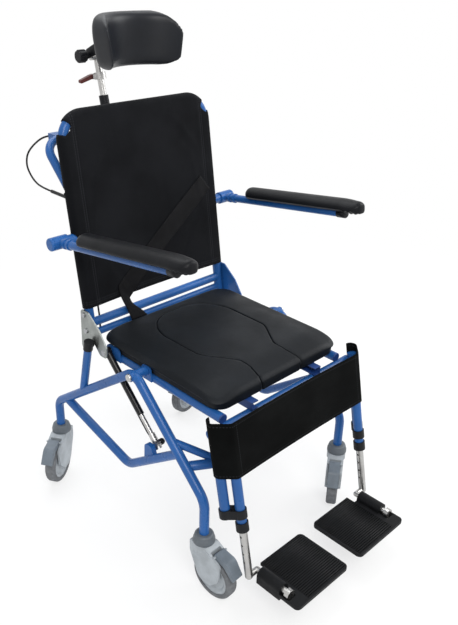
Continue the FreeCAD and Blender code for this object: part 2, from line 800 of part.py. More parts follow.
def safety_belt():
    """Webbing that crosses the sling and drops behind the seat pad."""
    width = 46.0
    front = back_behind * -(cloth_out + 0.3)
    upper = on_back(190, 838) + front
    lower = on_back(-96, 608) + front
    run = (upper - lower).normalize()
    aside = run.cross(back_behind).normalize() * (width / 2)
    strip = slab([upper + aside, upper - aside, lower - aside, lower + aside], [4, 4, 0, 0], back_behind * -2.0)
    tail_end = V(lower.x - 16, pad_rear_y + 8, back_low_z - 12)
    tail_start = lower + run * 10
    drop = (tail_end - tail_start).normalize()
    across = V(1, 0, 0) * (width / 2 + 4)
    face = drop.cross(V(1, 0, 0)).normalize()
    tail = slab([tail_start + across, tail_start - across, tail_end - across, tail_end + across], [0, 0, 4, 4],
                face * 2.0)
    return strip.fuse(tail).removeSplitter()


belt = safety_belt().cut(sling).cut(back)
save("safety_belt", max(belt.Solids, key=lambda solid: solid.Volume))

# Seat pad and lift-out plug

pad_top_z = pad_low_z + pad_t


def level_edges(shape, z):
    """The edges that lie flat at a height."""
    return [e for e in shape.Edges if abs(e.BoundBox.ZMin - z) < 0.01 and abs(e.BoundBox.ZMax - z) < 0.01]


def keyhole(z):
    """Outline of the comfort opening: broad at the rear, with a neck that runs out through the front edge."""
    front = pad_front_y - 20
    wide_front = opening_middle_y - 74
    half = [V(-neck_half - 14, front, z), V(-neck_half, neck_y - 40, z), V(-neck_half, neck_y, z),
            V(-opening_half, wide_front, z), V(-opening_half, opening_rear_y, z)]
    mirrored = [V(-point.x, point.y, point.z) for point in reversed(half)]
    radii = [0, 60, 40, 70, 100]
    return Part.Face(outline(half + mirrored, radii + radii[::-1]))


def pad_block():
    """The cushion's outer form, rounded at its corners and along its upper and lower edges."""
    corners = [V(-pad_half, pad_front_y, pad_low_z), V(pad_half, pad_front_y, pad_low_z),
               V(pad_half, pad_rear_y, pad_low_z), V(-pad_half, pad_rear_y, pad_low_z)]
    block = slab(corners, [pad_corner_r] * 4, V(0, 0, pad_t))
    block = block.makeFillet(pad_edge_r, level_edges(block, pad_top_z))
    return block.makeFillet(pad_edge_r / 3, level_edges(block, pad_low_z))


opening = keyhole(pad_low_z - 1).extrude(V(0, 0, pad_t + 2))
block = pad_block()
save("seat_pad", block.cut(opening))
plug = keyhole(pad_low_z - 1).makeOffset2D(-plug_gap).extrude(V(0, 0, pad_t + 2))
save("seat_plug", block.common(plug))

# Armrests


def raised(shape):
    """Turns an armrest piece from level to its rise, about the pivot."""
    shape.rotate(V(0, arm_y, arm_z), V(1, 0, 0), -arm_rise_deg)
    return shape


def arm_frame(s):
    """Tube with a bored barrel at the rear and two rings beside it."""
    x = s * arm_x
    length = (arm_y - arm_tube_end_y) / math.cos(math.radians(arm_rise_deg))
    pieces = [straight(V(x, arm_y, arm_z), V(x, arm_y - length, arm_z), post_r),
              along_x(s * barrel_in, s * barrel_out, arm_y, arm_z, arm_barrel_r)]
    for gap in (26.0, 44.0):
        pieces.append(straight(V(x, arm_y - gap, arm_z), V(x, arm_y - gap - 8, arm_z), post_r + 2.5))
    bore = along_x(s * (barrel_in - 1), s * (barrel_out + 1), arm_y, arm_z, arm_stub_r + running_gap)
    return fused(pieces).cut(bore)


def arm_pad(s, frame):
    """Long cushion with round ends, let down over the tube."""
    x = s * arm_x
    half = arm_pad_w / 2
    low = arm_z + post_r - 4
    corners = [V(x - half, arm_pad_front_y, low), V(x + half, arm_pad_front_y, low),
               V(x + half, arm_pad_rear_y, low), V(x - half, arm_pad_rear_y, low)]
    pad = slab(corners, [24.0] * 4, V(0, 0, arm_pad_t))
    pad = pad.makeFillet(13.0, level_edges(pad, low + arm_pad_t))
    pad = pad.makeFillet(6.0, level_edges(pad, low))
    return pad.cut(frame)


for side, s in sides.items():
    frame = arm_frame(s)
    save("armrest_pad_" + side, raised(arm_pad(s, frame)))
    save("armrest_frame_" + side, raised(frame))

# Legrests


def on_hanger(s, along):
    """A point on the hanger's axis, measured up the axis from its lower end."""
    lean = math.hypot(1.0, legrest_slope)
    return V(s * hanger_x, hanger_low_y + along * legrest_slope / lean, hanger_low_z + along / lean)


hanger_length = (hanger_top_z - hanger_low_z) * math.hypot(1.0, legrest_slope)
post_drop = V(0, legrest_slope, 1.0)


def hanger(s):
    """Tube that carries the footrest stem, joined to the seat frame's post by a short bar."""
    tube = straight(on_hanger(s, 0), on_hanger(s, hanger_length), tube_r)
    tie_z = strap_top_z - 40
    tie = straight(V(s * hanger_x, hanger_y(tie_z), tie_z), V(s * legrest_post_x, legrest_post_y(tie_z), tie_z), 8.0)
    bore = straight(on_hanger(s, -1), on_hanger(s, stem_up + 55), hanger_bore_r)
    return tube.fuse(tie).removeSplitter().cut(seat).cut(bore)


def hanger_clamp(s):
    """Moulded saddle round the hanger and the lower end of the post."""
    z = legrest_post_low_z - 14
    rise = post_drop * 22
    near = V(s * hanger_x, hanger_y(z), z)
    far = V(s * legrest_post_x, legrest_post_y(z), z)
    aside = (far - near).cross(V(0, 0, 1)).normalize() * 12
    web = slab([near + aside, far + aside, far - aside, near - aside], [0] * 4, rise)
    saddle = fused([straight(near, near + rise, tube_r + 3.5), straight(far, far + rise, tube_r + 3.5), web])
    return saddle.cut(straight(near - rise, near + rise * 2, tube_r)).cut(straight(far - rise, far + rise * 2, tube_r))


def hanger_collar(s):
    """Black guide ring on the hanger's lower end."""
    ring = straight(on_hanger(s, -8), on_hanger(s, 16), tube_r + 3.5)
    ring = ring.cut(straight(on_hanger(s, 0), on_hanger(s, 40), tube_r))
    return ring.cut(straight(on_hanger(s, -20), on_hanger(s, 20), hanger_bore_r))


def footrest_stem(s):
    """Stem with a row of holes, an elbow at its foot and the rod that the footplate turns on."""
    foot = V(s * hanger_x, hanger_y(hinge_rod_z), hinge_rod_z)
    turn = V(s * hinge_rod_x, foot.y, hinge_rod_z)
    tip = V(s * hinge_rod_x, hinge_rod_front_y, hinge_rod_z)
    stem = fused([straight(foot, on_hanger(s, stem_up), stem_r), Part.makeSphere(stem_r, foot),
                  straight(foot, turn, hinge_rod_r), Part.makeSphere(hinge_rod_r, turn),
                  straight(turn, tip, hinge_rod_r), straight(tip, tip + V(0, -12, 0), hinge_rod_r + 5)])
    for step in range(4):
        hole = on_hanger(s, -24 - 24 * step)
        stem = stem.cut(along_x(hole.x - 20, hole.x + 20, hole.y, hole.z, 3.0))
    return stem


def footplate(s):
    """Flat plate with rounded corners and a bored housing, round above and square below, on the hinge rod."""
    low = footplate_top_z - footplate_t
    corners = [V(s * footplate_in, footplate_front_y, low), V(s * footplate_out, footplate_front_y, low),
               V(s * footplate_out, footplate_rear_y, low), V(s * footplate_in, footplate_rear_y, low)]
    plate = slab(corners, [footplate_corner_r] * 4, V(0, 0, footplate_t))
    axis_front = V(s * hinge_rod_x, housing_front_y, hinge_rod_z)
    axis_rear = V(s * hinge_rod_x, housing_rear_y, hinge_rod_z)
    plate = plate.cut(box(s * (hinge_rod_x - 26), s * (footplate_out + 5), housing_rear_y, footplate_rear_y + 5,
                          low - 1, footplate_top_z + 1))
    plate = plate.cut(straight(axis_front, axis_front + V(0, -29, 0), hinge_rod_r + 6))
    near, far = s * (hinge_rod_x - housing_half), s * (hinge_rod_x + housing_half)
    below = [V(near, housing_rear_y, housing_low_z), V(far, housing_rear_y, housing_low_z),
             V(far, housing_rear_y, hinge_rod_z), V(near, housing_rear_y, hinge_rod_z)]
    block = slab(below, [housing_edge_r, housing_edge_r, 0, 0], axis_front - axis_rear)
    plate = fused([plate, straight(axis_rear, axis_front, housing_half), block])
    return plate.cut(straight(axis_rear + V(0, 9, 0), axis_front + V(0, -9, 0), hinge_rod_r + running_gap))


clamps = []
for side, s in sides.items():
    save("legrest_hanger_" + side, hanger(s))
    save("footrest_stem_" + side, footrest_stem(s))
    save("footplate_" + side, footplate(s))
    clamps.append(hanger_clamp(s))
    clamps.append(hanger_collar(s))
save("hanger_clamps", Part.makeCompound(clamps))

# Headrest

knuckle = on_head(head_post_high + 4)
screw_r = 4.0
cheek_in = head_knuckle_w / 2 + 0.4
cheek_out = cheek_in + head_cheek_t
latch_pin = on_head(stop_ring_at, -stop_ring_r - 7)
latch_half = 5.0
latch_pin_r = 3.0


def head_sleeve():
    """Sleeve for the headrest post, with a block clamped round the push bar."""
    sleeve = straight(on_head(sleeve_low), on_head(sleeve_high), sleeve_r)
    grip = box(-18, 18, push_corner_y - post_r - 5, head_axis_y + 2, push_corner_z - 14, push_corner_z + 14)
    bore = straight(on_head(sleeve_low - 5), on_head(sleeve_high + 5), head_post_r + running_gap)
    return sleeve.fuse(grip).removeSplitter().cut(push).cut(bore)


save("headrest_sleeve", head_sleeve())


def head_post():
    """Post with a stop ring that carries the latch pin, and a knuckle across its top."""
    half = stop_ring_h / 2
    ring = straight(on_head(stop_ring_at - half), on_head(stop_ring_at + half), stop_ring_r)
    pieces = [straight(on_head(head_post_low), on_head(head_post_high), head_post_r), ring,
              along_x(-head_knuckle_w / 2, head_knuckle_w / 2, knuckle.y, knuckle.z, head_knuckle_r)]
    for step in (-1, 1):
        near = latch_pin.y + step * (latch_half + 0.4)
        pieces.append(box(-stop_ring_r + 8, latch_pin.x - 5, near, near + step * 3.5, latch_pin.z - 6, latch_pin.z + 6))
    pieces.append(straight(latch_pin + V(0, -latch_half - 2, 0), latch_pin + V(0, latch_half + 2, 0), latch_pin_r))
    bore = along_x(-head_knuckle_w, head_knuckle_w, knuckle.y, knuckle.z, screw_r + running_gap)
    return fused(pieces).cut(bore)


save("headrest_post", head_post())


def head_latch():
    """Short lever on the stop ring that droops outwards."""
    x, z = latch_pin.x, latch_pin.z
    y = latch_pin.y - latch_half
    blade = [V(x + 5.5, y, z + 5.5), V(x + 5.5, y, z - 5.5), V(x - 8, y, z - 6), V(x - 44, y, z - 15),
             V(x - 44, y, z - 6), V(x - 10, y, z + 5.5)]
    lever = slab(blade, [5, 5, 8, 3.5, 3.5, 8], V(0, 2 * latch_half, 0))
    return lever.cut(straight(latch_pin + V(0, -20, 0), latch_pin + V(0, 20, 0), latch_pin_r + running_gap))


save("headrest_latch", head_latch())


def head_pad():
    """Cushion curved round the back of the head, with rounded ends."""
    half_t = head_pad_t / 2
    half_h = head_pad_h / 2
    corners = [V(0, head_pad_y - half_t, head_pad_z - half_h), V(0, head_pad_y + half_t, head_pad_z - half_h),
               V(0, head_pad_y + half_t, head_pad_z + half_h), V(0, head_pad_y - half_t, head_pad_z + half_h)]
    face = Part.Face(outline(corners, [20.0] * 4))
    centre = V(0, head_pad_y - head_pad_curve_r, 0)
    sweep = math.degrees(math.asin(head_pad_half / (head_pad_curve_r - half_t))) + 4
    face.rotate(centre, V(0, 0, 1), -sweep)
    shell = face.revolve(centre, V(0, 0, 1), 2 * sweep)
    near = head_pad_y - 200
    rim = [V(-head_pad_half, near, head_pad_z - half_h - 1), V(head_pad_half, near, head_pad_z - half_h - 1),
           V(head_pad_half, near, head_pad_z + half_h + 1), V(-head_pad_half, near, head_pad_z + half_h + 1)]
    return shell.common(slab(rim, [head_pad_low_r, head_pad_low_r, head_pad_top_r, head_pad_top_r], V(0, 300, 0)))


pad = head_pad()
save("headrest_pad", pad)


def head_arm():
    """Two cheeks from the knuckle to a plate on the back of the cushion."""
    back_y = head_pad_y + head_pad_t / 2
    pieces = [box(-cheek_out - 8, cheek_out + 8, back_y - 8, back_y + 5, head_pad_z - 32, head_pad_z + 32)]
    reach = head_knuckle_r
    for s in sides.values():
        x = s * cheek_in
        side = [V(x, knuckle.y + reach, knuckle.z + reach), V(x, knuckle.y + reach, knuckle.z - reach),
                V(x, back_y, head_pad_z - 16), V(x, back_y, head_pad_z + 16)]
        pieces.append(slab(side, [11, 11, 0, 0], V(s * head_cheek_t, 0, 0)))
    bore = along_x(-cheek_out - 5, cheek_out + 5, knuckle.y, knuckle.z, screw_r + running_gap)
    return fused(pieces).cut(pad).cut(bore)


save("headrest_arm", head_arm())


def head_knob():
    """Lobed hand knob on the clamp screw through the knuckle, with a round nut at the far end."""
    def disc(x0, x1, radius):
        return along_x(x0, x1, knuckle.y, knuckle.z, radius)
    inner = -cheek_out - 0.6
    knob = disc(inner - 10, inner - 34, 17.0)
    rim = [e for e in knob.Edges if e.Closed]
    knob = knob.makeFillet(4.0, rim)
    for step in range(6):
        angle = math.radians(60 * step)
        knob = knob.cut(along_x(inner - 40, inner, knuckle.y + 21 * math.cos(angle),
                                knuckle.z + 21 * math.sin(angle), 7.0))
    return fused([knob, disc(inner, inner - 11, 8.0), disc(inner - 1, cheek_out + 7, screw_r),
                  disc(cheek_out + 0.6, cheek_out + 7, 8.0)])


save("headrest_knob", head_knob())

# Gas spring and release cable

spring_foot = V(-spring_x, spring_foot_y, spring_foot_z)
spring_top = V(-spring_x, spring_pin_y, spring_pin_z)
spring_axis = (spring_top - spring_foot).normalize()
spring_aside = V(0, spring_axis.z, -spring_axis.y)
spring_in = spring_x - spring_eye_w / 2
spring_out = spring_x + spring_eye_w / 2
rod_inserted = 60.0
spring_stroke = 45.0


def gas_rod():
    """Rod with an eye in a round release head at its foot."""
    eye = along_x(-spring_in, -spring_out, spring_foot_y, spring_foot_z, spring_eye_r)
    head = straight(spring_foot - spring_axis * 14, spring_foot + spring_axis * 30, 9.0)
    bar = straight(spring_foot + spring_axis * 20, spring_foot + spring_axis * (spring_rod_length + rod_inserted),
                   spring_rod_d / 2)
    bore = along_x(-spring_in + 10, -spring_out - 10, spring_foot_y, spring_foot_z, spring_pin_r + running_gap)
    return fused([head, eye, bar]).cut(bore)


def gas_cylinder():
    """Pressure tube, bored for the rod, with an open eye at its upper end."""
    tube = straight(spring_foot + spring_axis * spring_rod_length, spring_top - spring_axis * 6, spring_d / 2)
    eye = along_x(-spring_in, -spring_out, spring_pin_y, spring_pin_z, spring_eye_r)
    play = along_x(-spring_in + 10, -spring_out - 10, spring_pin_y, spring_pin_z, spring_pin_r + spring_eye_play)
    bore = straight(spring_foot + spring_axis * (spring_rod_length - 1),
                    spring_foot + spring_axis * (spring_rod_length + rod_inserted + spring_stroke),
                    spring_rod_d / 2 + running_gap)
    return tube.fuse(eye).removeSplitter().cut(play).cut(bore)


save("gas_rod", gas_rod())
save("gas_cylinder", gas_cylinder())


def cable(points, radius):
    """A round cable through the points, with the widest arcs that the shorter run at each point allows."""
    radii = []
    for before, corner, after in zip(points, points[1:], points[2:]):
        turn = math.pi - (before - corner).getAngle(after - corner)
        shorter = min((before - corner).Length, (after - corner).Length)
        radii.append(0.45 * shorter / math.tan(turn / 2))
    print("cable bend radii in mm:", [round(r) for r in radii])
    return rod(points, radii, radius * 2)


def cable_lower():
    """Cable beside the gas spring, from its release head to the upper eye."""
    start = spring_foot + spring_axis * 14 + spring_aside * 4
    aside = spring_aside * 14
    return cable([start, spring_foot + spring_axis * 34 + aside, spring_top - spring_axis * 6 + aside],
                 cable_r).cut(gas_rod())


save("cable_lower", max(cable_lower().Solids, key=lambda solid: solid.Volume))

lever_y = lever_pivot.y
lever_z = push_corner_z
loop_points = [V(40.0 - back_x, lever_y + 9, lever_z + 2), V(36.5 - back_x, lever_y + 33, lever_z - 4),
               V(28.5 - back_x, lever_y + 68, lever_z - 28), V(22.5 - back_x, lever_y + 96, lever_z - 56),
               V(20.5 - back_x, lever_y + 104, lever_z - 81), V(18.5 - back_x, lever_y + 97, lever_z - 102),
               V(15.5 - back_x, lever_y + 65, lever_z - 125), V(13.5 - back_x, lever_y + 25, lever_z - 134),
               V(11.5 - back_x, lever_y - 27, lever_z - 132)]
ferrule_end = V(7.5 - back_x, lever_y - 103, lever_z - 129)
run_points = [ferrule_end, on_back(8.5 - back_x, 866, 24), on_back(13.5 - back_x, 820, 21),
              on_back(23.5 - back_x, 765, 21), on_back(31.5 - back_x, 710, 21), on_back(37.5 - back_x, 655, 21),
              on_back(42.5 - back_x, 605, 20), on_back(42.5 - back_x, 550, 20), V(34.5 - back_x, 202, 505),
              V(12.5 - back_x, 178, 489), V(-spring_x, 137, 487)]
ferrule = straight(loop_points[-1], ferrule_end, ferrule_r)
save("cable_loop", cable(loop_points, cable_r))
save("cable_ferrule", ferrule)
save("cable_run", max(cable(run_points, cable_r).cut(ferrule).Solids, key=lambda solid: solid.Volume))
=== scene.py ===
import bmesh
import bpy
import json
import math
import numpy as np
from mathutils import Matrix, Vector


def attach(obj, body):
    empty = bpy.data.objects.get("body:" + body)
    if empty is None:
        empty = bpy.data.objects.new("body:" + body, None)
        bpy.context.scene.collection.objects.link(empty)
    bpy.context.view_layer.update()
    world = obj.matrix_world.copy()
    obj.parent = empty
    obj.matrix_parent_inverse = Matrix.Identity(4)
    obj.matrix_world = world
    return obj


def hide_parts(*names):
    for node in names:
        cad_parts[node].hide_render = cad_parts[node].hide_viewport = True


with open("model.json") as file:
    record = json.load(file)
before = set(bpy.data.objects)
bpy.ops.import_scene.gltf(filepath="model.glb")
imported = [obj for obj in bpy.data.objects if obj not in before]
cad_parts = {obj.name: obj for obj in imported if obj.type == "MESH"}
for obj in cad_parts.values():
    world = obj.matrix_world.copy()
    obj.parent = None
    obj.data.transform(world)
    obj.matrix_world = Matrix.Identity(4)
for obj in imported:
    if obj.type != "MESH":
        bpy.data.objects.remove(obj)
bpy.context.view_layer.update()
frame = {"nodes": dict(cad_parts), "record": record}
nodes = frame["nodes"]
scene = bpy.context.scene
MM = 0.001
TURN = 2 * math.pi
WHITE = (1.0, 1.0, 1.0, 1.0)


def linear(r, g, b):
    """A display colour, 0 to 255, as the shader's linear colour: the standard display curve undone."""
    c = np.array((r, g, b)) / 255.0
    return tuple(np.where(c <= 0.04045, c / 12.92, ((c + 0.055) / 1.055) ** 2.4).tolist()) + (1.0,)


def dim(colour, factor):
    """The same hue, its light multiplied."""
    return tuple(c * factor for c in colour[:3]) + (1.0,)


# Node trees and materials

class Value:
    """An output socket; arithmetic on it adds Math nodes to its tree."""

    def __init__(self, tree, socket):
        self.tree = tree
        self.socket = socket

    def math(self, operation, *items):
        return self.tree.add("ShaderNodeMath", {"operation": operation}, dict(enumerate(items)))

    def __add__(self, other):
        return self.math("ADD", self, other)

    def __sub__(self, other):
        return self.math("SUBTRACT", self, other)

    def __rsub__(self, other):
        return self.math("SUBTRACT", other, self)

    def __mul__(self, other):
        return self.math("MULTIPLY", self, other)

    __radd__ = __add__
    __rmul__ = __mul__

    def abs(self):
        return self.math("ABSOLUTE", self)

    def sin(self):
        return self.math("SINE", self)

    def larger(self, other):
        return self.math("MAXIMUM", self, other)

    def between(self, low, high, out_low=0.0, out_high=1.0):
        """A smooth step from out_low to out_high while this value goes from low to high."""
        return self.tree.add("ShaderNodeMapRange", {"interpolation_type": "SMOOTHSTEP"},
                             {"Value": self, "From Min": low, "From Max": high,
                              "To Min": out_low, "To Max": out_high})

    def line_at(self, place, width):
        """1 on a narrow line where this value passes a place, 0 beside it."""
        return (self - place).abs().between(width * 0.35, width, 1.0, 0.0)


class Tree:
    """A node tree whose nodes all come from one method."""

    def __init__(self, tree):
        self.nodes = tree.nodes
        self.links = tree.links

    def add(self, kind, settings=None, sockets=None, out=0):
        node = self.nodes.new(kind)
        for key, item in (settings or {}).items():
            setattr(node, key, item)
        self.join(node, sockets or {})
        return Value(self, node.outputs[out]) if len(node.outputs) else None

    def join(self, node, sockets):
        for key, item in sockets.items():
            if isinstance(item, Value):
                self.links.new(item.socket, node.inputs[key])
            else:
                node.inputs[key].default_value = item

    def seen_by_eye(self):
        """1 for rays from the camera, by reflection or straight through, 0 for rays that only light."""
        camera, mirrored, through = (self.add("ShaderNodeLightPath", out=name) for name in
                                     ("Is Camera Ray", "Is Glossy Ray", "Is Transmission Ray"))
        return camera.larger(mirrored).larger(through)


class Paint(Tree):
    """One material: a Principled shader, fed with grain, colour changes and bumps on Object coordinates."""

    def __init__(self, name, colour, roughness, **constants):
        self.material = bpy.data.materials.new(name)
        self.material.use_nodes = True
        self.material.diffuse_color = colour
        super().__init__(self.material.node_tree)
        self.colour = colour
        self.shader = self.nodes["Principled BSDF"]
        self.join(self.shader, {"Base Color": colour, "Roughness": roughness})
        self.join(self.shader, {key.replace("_", " "): number for key, number in constants.items()})
        self.place = self.add("ShaderNodeTexCoord", out="Object")

    def axis(self, letter):
        """The place along X, Y or Z, in metres."""
        return self.add("ShaderNodeSeparateXYZ", None, {0: self.place}, "XYZ".index(letter))

    def noise(self, scale, detail=2.0, rough=0.5, stretch=None):
        where = self.place
        if stretch:
            where = self.add("ShaderNodeMapping", None, {"Vector": self.place, "Scale": stretch})
        return self.add("ShaderNodeTexNoise", None,
                        {"Vector": where, "Scale": scale, "Detail": detail, "Roughness": rough})

    def cells(self, scale):
        """Distance to the nearest of many scattered points."""
        return self.add("ShaderNodeTexVoronoi", None, {"Vector": self.place, "Scale": scale}, "Distance")

    def mix(self, factor, first, second):
        return self.add("ShaderNodeMix", {"data_type": "RGBA"}, {0: factor, 6: first, 7: second}, 2)

    def drift(self, value, darker, lighter, low=0.3, high=0.7):
        """The material's colour, darker where the value is low and lighter where it is high."""
        return self.mix(value.between(low, high), dim(self.colour, darker), dim(self.colour, lighter))

    def use(self, **sockets):
        self.join(self.shader, {key.replace("_", " "): item for key, item in sockets.items()})

    def bump(self, height, strength, distance, rounded=0.0):
        """A bump from a height; rounded eases hard edges over that radius first."""
        sockets = {"Strength": strength, "Distance": distance, "Height": height}
        if rounded:
            sockets["Normal"] = self.add("ShaderNodeBevel", {"samples": 4}, {"Radius": rounded})
        self.use(Normal=self.add("ShaderNodeBump", None, sockets))
        return self.material


def enamel(name, colour, roughness, coat):
    """Gloss powder coat: slow colour drift, smears in the gloss, faint orange peel."""
    paint = Paint(name, colour, roughness, Coat_Weight=coat, Coat_Roughness=0.12, Specular_IOR_Level=0.24)
    paint.use(Base_Color=paint.drift(paint.noise(7.0, 3.0), 0.88, 1.10))
    smear = paint.noise(38.0, 4.0, 0.6)
    paint.use(Roughness=smear.between(0.3, 0.75, roughness - 0.06, roughness + 0.10))
    return paint.bump(paint.noise(520.0), 0.10, 0.0004, 0.0008)


def moulded(name, colour, roughness, grain, rounded, specular=0.4):
    """Moulded plastic: fine eroded grain, slight mottling, rounded arrises."""
    paint = Paint(name, colour, roughness, Specular_IOR_Level=specular)
    paint.use(Base_Color=paint.drift(paint.noise(24.0, 4.0, 0.6), 0.86, 1.12))
    paint.use(Roughness=paint.noise(70.0, 3.0).between(0.3, 0.7, roughness - 0.07, roughness + 0.07))
    return paint.bump(paint.noise(grain, 3.0, 0.65), 0.22, 0.0003, rounded)


def foam(name, colour, roughness, specular=0.12):
    """Self-skinned foam: pebbled leather-like skin with rubbed, glossier patches."""
    paint = Paint(name, colour, roughness, Specular_IOR_Level=specular)
    rubbed = paint.noise(9.0, 4.0, 0.6)
    paint.use(Base_Color=paint.drift(rubbed, 0.82, 1.22, low=0.35))
    paint.use(Roughness=rubbed.between(0.3, 0.7, roughness + 0.06, roughness - 0.06))
    pebble = paint.cells(620.0).between(0.05, 0.75)
    return paint.bump(0.7 * pebble + 0.5 * paint.noise(150.0, 3.0), 0.30, 0.0004)


def plated(name, colour, roughness, brushed):
    """Bright metal with faint drawing marks and a little haze."""
    paint = Paint(name, colour, roughness, Metallic=1.0)
    marks = paint.noise(60.0, 4.0, 0.6, (brushed, brushed, 0.25))
    paint.use(Roughness=marks.between(0.25, 0.75, roughness * 0.7, roughness * 1.5))
    paint.use(Base_Color=paint.drift(paint.noise(30.0, 3.0), 0.9, 1.04))
    return paint.bump(marks, 0.05, 0.0002, 0.0005)


THREAD_PITCH, THREAD_WIDTH = 0.0016, 0.0011


def weave(across, up, pitch):
    """Height of a plain weave: the product of two sines, one per thread direction."""
    return (across * (TURN / pitch)).sin() * (up * (TURN / pitch)).sin() * 0.5 + 0.5


def stitch(across, along, place, pitch):
    """A row of stitches on a line: 1 on the threads."""
    return across.line_at(place, THREAD_WIDTH) * (along * (TURN / pitch)).sin().between(-0.35, 0.05)


def sling_cloth():
    """Black coated cloth: weave, puckers beside the hems, twin stitch rows, a slightly worn middle."""
    paint = Paint("cloth_sling", linear(15, 16, 19), 0.78,
                  Specular_IOR_Level=0.07, Sheen_Weight=0.03, Sheen_Roughness=0.45)
    x, z = paint.axis("X"), paint.axis("Z")
    side = x.abs()
    pitch = 0.006
    inner_seam, outer_seam, seam_furrow = 0.206, 0.2125, 0.209
    upper_hem, lower_hem, hem_furrow = 0.6205, 0.6145, 0.6175
    seams = stitch(side, z, inner_seam, pitch).larger(stitch(side, z, outer_seam, pitch))
    hem = stitch(z, x, upper_hem, pitch).larger(stitch(z, x, lower_hem, pitch))
    sewn = seams.larger(hem)
    furrow = side.line_at(seam_furrow, 0.010).larger(z.line_at(hem_furrow, 0.009))
    worn = paint.noise(5.0, 4.0, 0.55)
    faded = paint.drift(worn, 0.75, 1.25, low=0.35, high=0.72)
    paint.use(Base_Color=paint.mix(sewn, faded, linear(44, 45, 49)))
    paint.use(Roughness=worn.between(0.3, 0.7, 0.84, 0.70))
    creases = paint.noise(22.0, 3.0, 0.55, (1.0, 1.0, 0.35))
    height = 0.20 * weave(x, z, THREAD_PITCH) + 0.8 * sewn - 1.2 * furrow + 1.5 * creases
    return paint.bump(height, 0.55, 0.0009)


def strap_cloth():
    """The calf strap's cloth: the same weave, with bound and stitched upper and lower edges."""
    paint = Paint("cloth_strap", linear(9, 10, 10), 0.80,
                  Specular_IOR_Level=0.04, Sheen_Weight=0.01, Sheen_Roughness=0.45)
    x, z = paint.axis("X"), paint.axis("Z")
    pitch = 0.0055
    lower_row, upper_row, end_row = 0.3795, 0.5030, 0.2235
    lower_fold, upper_fold, fold_width = 0.3815, 0.5010, 0.008
    sewn = stitch(z, x, lower_row, pitch).larger(stitch(z, x, upper_row, pitch))
    sewn = sewn.larger(stitch(x.abs(), z, end_row, pitch))
    fold = z.line_at(lower_fold, fold_width).larger(z.line_at(upper_fold, fold_width))
    worn = paint.noise(8.0, 4.0, 0.55)
    faded = paint.drift(worn, 0.75, 1.25, low=0.35, high=0.72)
    paint.use(Base_Color=paint.mix(sewn, faded, linear(38, 39, 42)))
    paint.use(Roughness=worn.between(0.3, 0.7, 0.86, 0.72))
    creases = paint.noise(26.0, 3.0, 0.55, (0.5, 1.0, 1.0))
    height = 0.20 * weave(x, z, THREAD_PITCH) + 0.8 * sewn - fold + 1.3 * creases
    return paint.bump(height, 0.55, 0.0009)


def webbing():
    """Belt webbing: tight ribs across it and a coarser twill along it, both sines of a slanting place."""
    paint = Paint("belt_webbing", linear(14, 14, 16), 0.62, Specular_IOR_Level=0.10)
    x, z = paint.axis("X"), paint.axis("Z")
    slant_x, slant_z = 0.62, 0.78
    rib_pitch, twill_pitch = 0.0021, 0.0046
    ribs = ((slant_x * x + slant_z * z) * (TURN / rib_pitch)).sin()
    twill = ((slant_z * x - slant_x * z) * (TURN / twill_pitch)).sin()
    paint.use(Base_Color=paint.drift(paint.noise(30.0, 3.0), 0.8, 1.3))
    paint.use(Roughness=ribs.between(-1.0, 1.0, 0.70, 0.54))
    return paint.bump(0.5 * ribs + 0.5 * twill, 0.5, 0.0005)


def tyre():
    """Non-marking tyre: matt, with pale dust in patches."""
    paint = Paint("tyre_rubber", linear(104, 106, 109), 0.72, Specular_IOR_Level=0.35)
    dust = paint.noise(60.0, 5.0, 0.65)
    paint.use(Base_Color=paint.drift(dust, 0.78, 1.25))
    paint.use(Roughness=dust.between(0.3, 0.7, 0.66, 0.82))
    return paint.bump(paint.noise(700.0, 3.0), 0.25, 0.0004, 0.0006)


look = {
    "blue_paint": enamel("blue_enamel", linear(33, 85, 148), 0.32, 0.10),
    "dark_blue_plastic": moulded("dark_blue_moulding", linear(32, 62, 120), 0.42, 800.0, 0.0008),
    "black_plastic": moulded("black_moulding", linear(22, 23, 26), 0.42, 900.0, 0.0009, 0.18),
    "red_brown_plastic": moulded("red_brown_moulding", linear(92, 40, 36), 0.35, 800.0, 0.0009),
    "cast_metal": plated("cast_plate", linear(156, 160, 158), 0.42, 1.0),
    "chrome": plated("bright_chrome", linear(186, 185, 183), 0.30, 1.4),
    "steel": plated("zinc_steel", linear(176, 177, 180), 0.36, 1.2),
    "gas_tube_black": enamel("black_enamel", linear(14, 14, 16), 0.26, 0.15),
    "cable_black": moulded("cable_sheath", linear(15, 15, 17), 0.40, 700.0, 0.0003, 0.2),
    "foam_skin": foam("seat_skin", linear(19, 22, 26), 0.46),
    "cloth_black": sling_cloth(),
    "webbing_black": webbing(),
    "footplate_black": moulded("footplate_moulding", linear(18, 19, 21), 0.5, 900.0, 0.0012, 0.14),
    "caster_grey": moulded("caster_nylon", linear(162, 168, 173), 0.42, 700.0, 0.0016),
    "tyre_grey": tyre(),
}
pedal_look = moulded("pedal_nylon", linear(104, 113, 122), 0.45, 700.0, 0.0014)
collar_look = moulded("collar_nylon", linear(92, 98, 104), 0.5, 700.0, 0.0014)
arm_look = foam("arm_skin", linear(17, 18, 21), 0.42)
head_look = foam("head_skin", linear(22, 24, 29), 0.38, 0.22)
strap_look = strap_cloth()
own_look = {"caster_collars": collar_look, "side_plate_left": look["blue_paint"]}
own_look.update({name: pedal_look for name in nodes if name.startswith("caster_brake")})
for part in frame["record"]["subparts"]:
    finishes = nodes[part["node"]].data.materials
    finishes.clear()
    finishes.append(own_look.get(part["node"], look[part["material_slot"]]))

# Camera, stage and light

